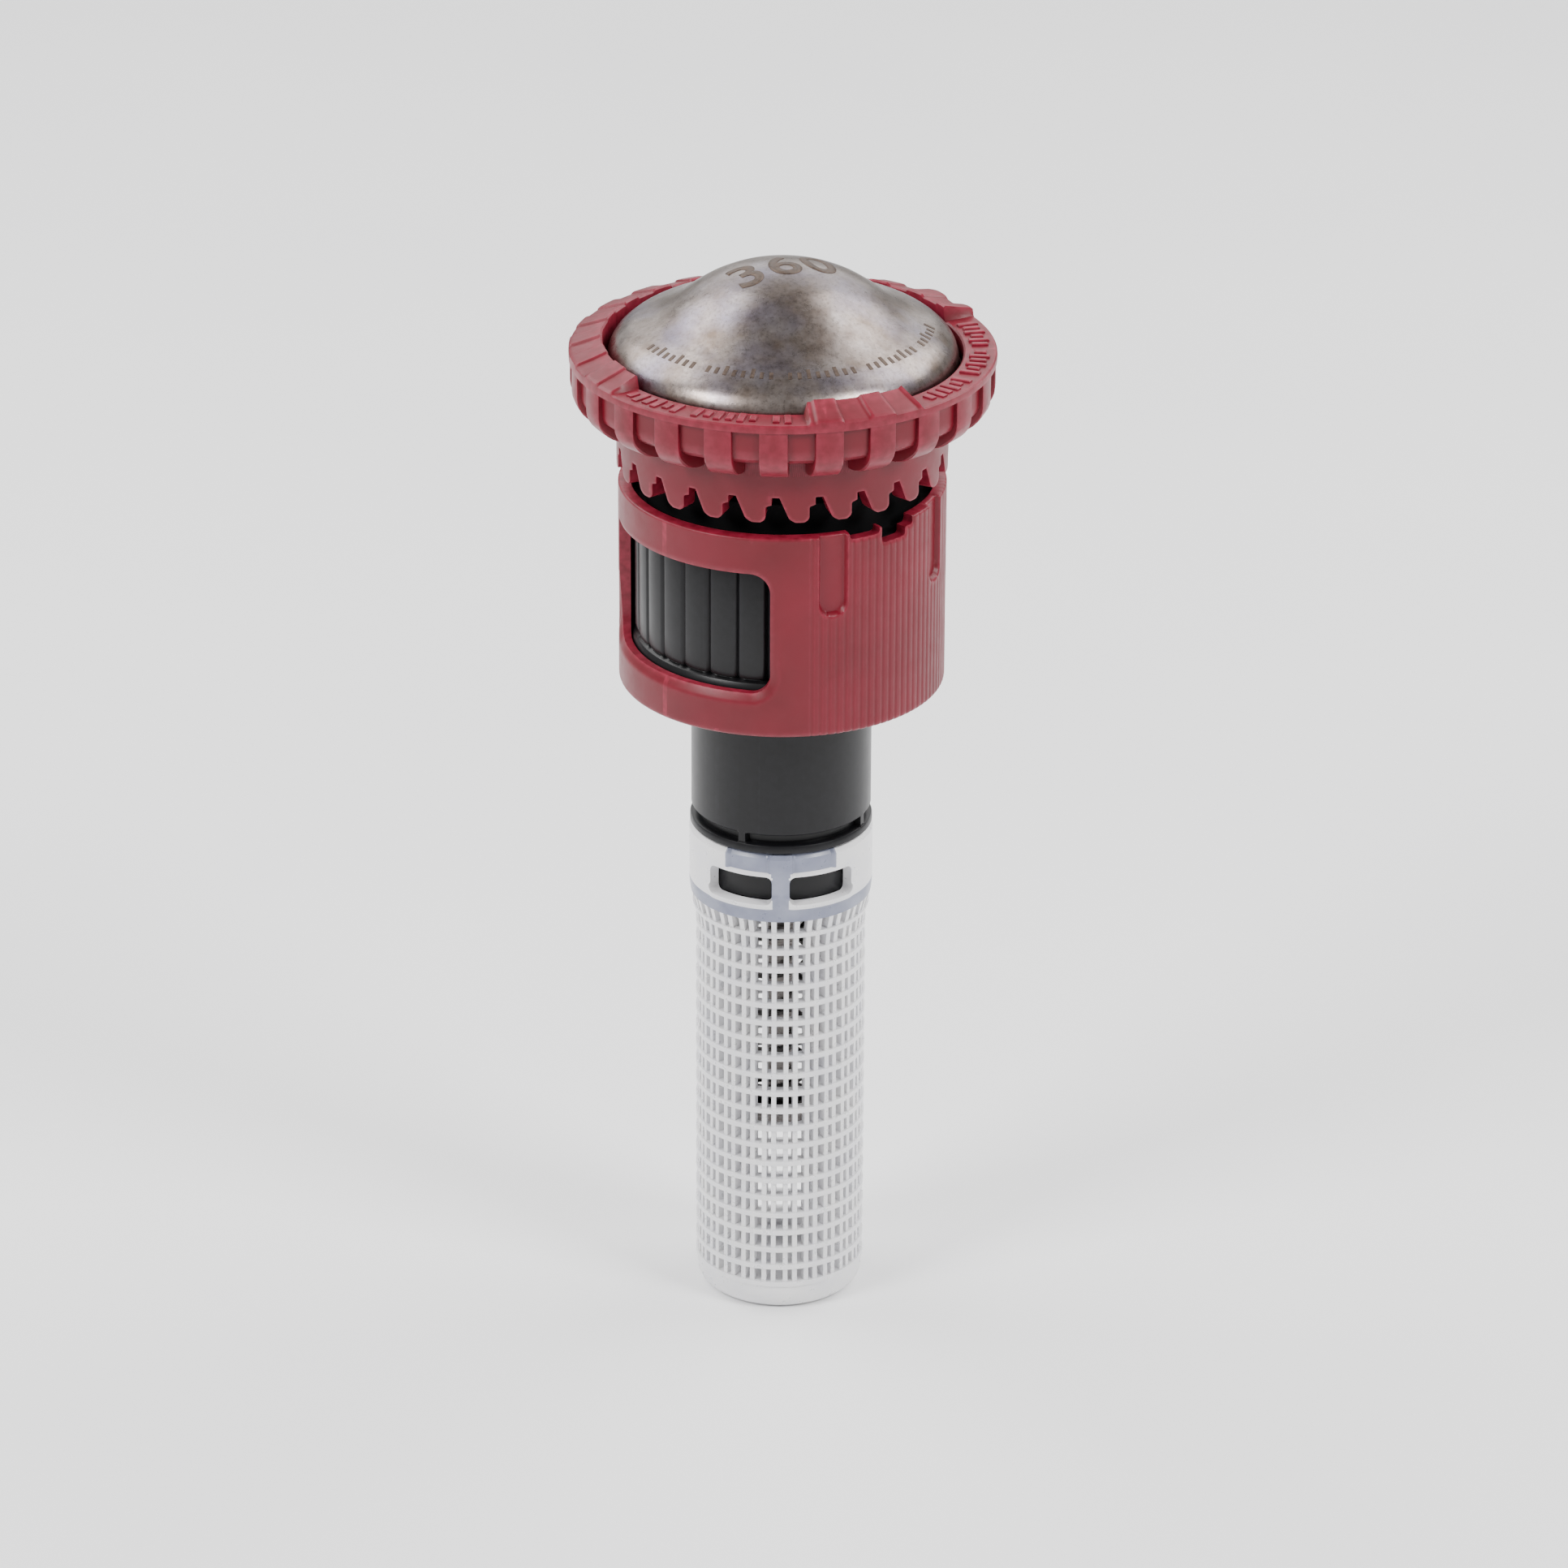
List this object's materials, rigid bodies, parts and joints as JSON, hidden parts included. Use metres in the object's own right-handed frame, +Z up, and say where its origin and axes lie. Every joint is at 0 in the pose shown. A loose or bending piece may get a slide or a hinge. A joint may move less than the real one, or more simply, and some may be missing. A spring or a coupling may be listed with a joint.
{
  "type": "rotary sprinkler nozzle",
  "caption": "Full-circle rotary nozzle for a pop-up spray body: domed cap on a spinning ribbed deflector, windowed sleeve over a ribbed adjusting collar, inlet tube and mesh filter basket.",
  "frame": {"origin": "centre of the filter basket's flat bottom, on the thread axis", "axes": "+Z up along the thread axis from the filter to the cap, +X to the right and -Y towards the front, where the left window ends and the grip begins"},
  "size_m": [0.0308, 0.0308, 0.0818],
  "materials": {
    "red_plastic": "moulded acetal, crimson, satin",
    "black_plastic": "moulded, black, satin",
    "clear_plastic": "moulded natural polypropylene, frosted clear",
    "grey_plastic": "moulded, light grey",
    "stainless": "drawn stainless, tumbled and handled",
    "spring_steel": "drawn wire",
    "rubber": "moulded nitrile"
  },
  "bodies": {
    "filter": {"filter_basket": "clear_plastic"},
    "nozzle": {"inlet_tube": "black_plastic", "nozzle_base": "black_plastic", "seat_gasket": "rubber", "outer_sleeve": "red_plastic", "nozzle_plate": "black_plastic", "lower_o_ring": "rubber", "upper_o_ring": "rubber", "return_spring": "spring_steel"},
    "collar": {"adjusting_collar": "black_plastic"},
    "throttle": {"throttle_nut": "grey_plastic"},
    "shaft_unit": {"shaft": "stainless", "friction_disc": "grey_plastic", "shaft_clip": "spring_steel", "spring_retainer": "stainless", "lock_nut": "stainless"},
    "rotor": {"deflector": "red_plastic", "cap": "stainless", "lower_bush": "grey_plastic", "shaft_seal": "rubber", "thrust_washer": "spring_steel", "brake_pad": "rubber", "brake_cover": "grey_plastic"}
  },
  "joints": [
    {"name": "filter_pull", "type": "slide", "parent": "filter", "child": "nozzle", "axis": [0, 0, 1], "range_m": [0, 0.03]},
    {"name": "radius_adjust", "type": "hinge", "parent": "nozzle", "child": "collar", "pos_m": [0, 0, 0.057], "axis": [0, 0, 1], "range_deg": [-180, 180]},
    {"name": "throttle_travel", "type": "slide", "parent": "collar", "child": "throttle", "axis": [0, 0, 1], "range_m": [-0.0007, 0.0007]},
    {"name": "head_pull", "type": "slide", "parent": "nozzle", "child": "shaft_unit", "axis": [0, 0, 1], "range_m": [0, 0.0045], "stiffness_N_per_m": 300, "springref_m": -0.006, "deforming": ["return_spring"]},
    {"name": "deflector_spin", "type": "hinge", "parent": "shaft_unit", "child": "rotor", "pos_m": [0, 0, 0.0727], "axis": [0, 0, 1], "continuous": true}
  ],
  "couplings": [
    {"joint": "throttle_travel", "follows": "radius_adjust", "m_per_rad": 0.00022282}
  ]
}
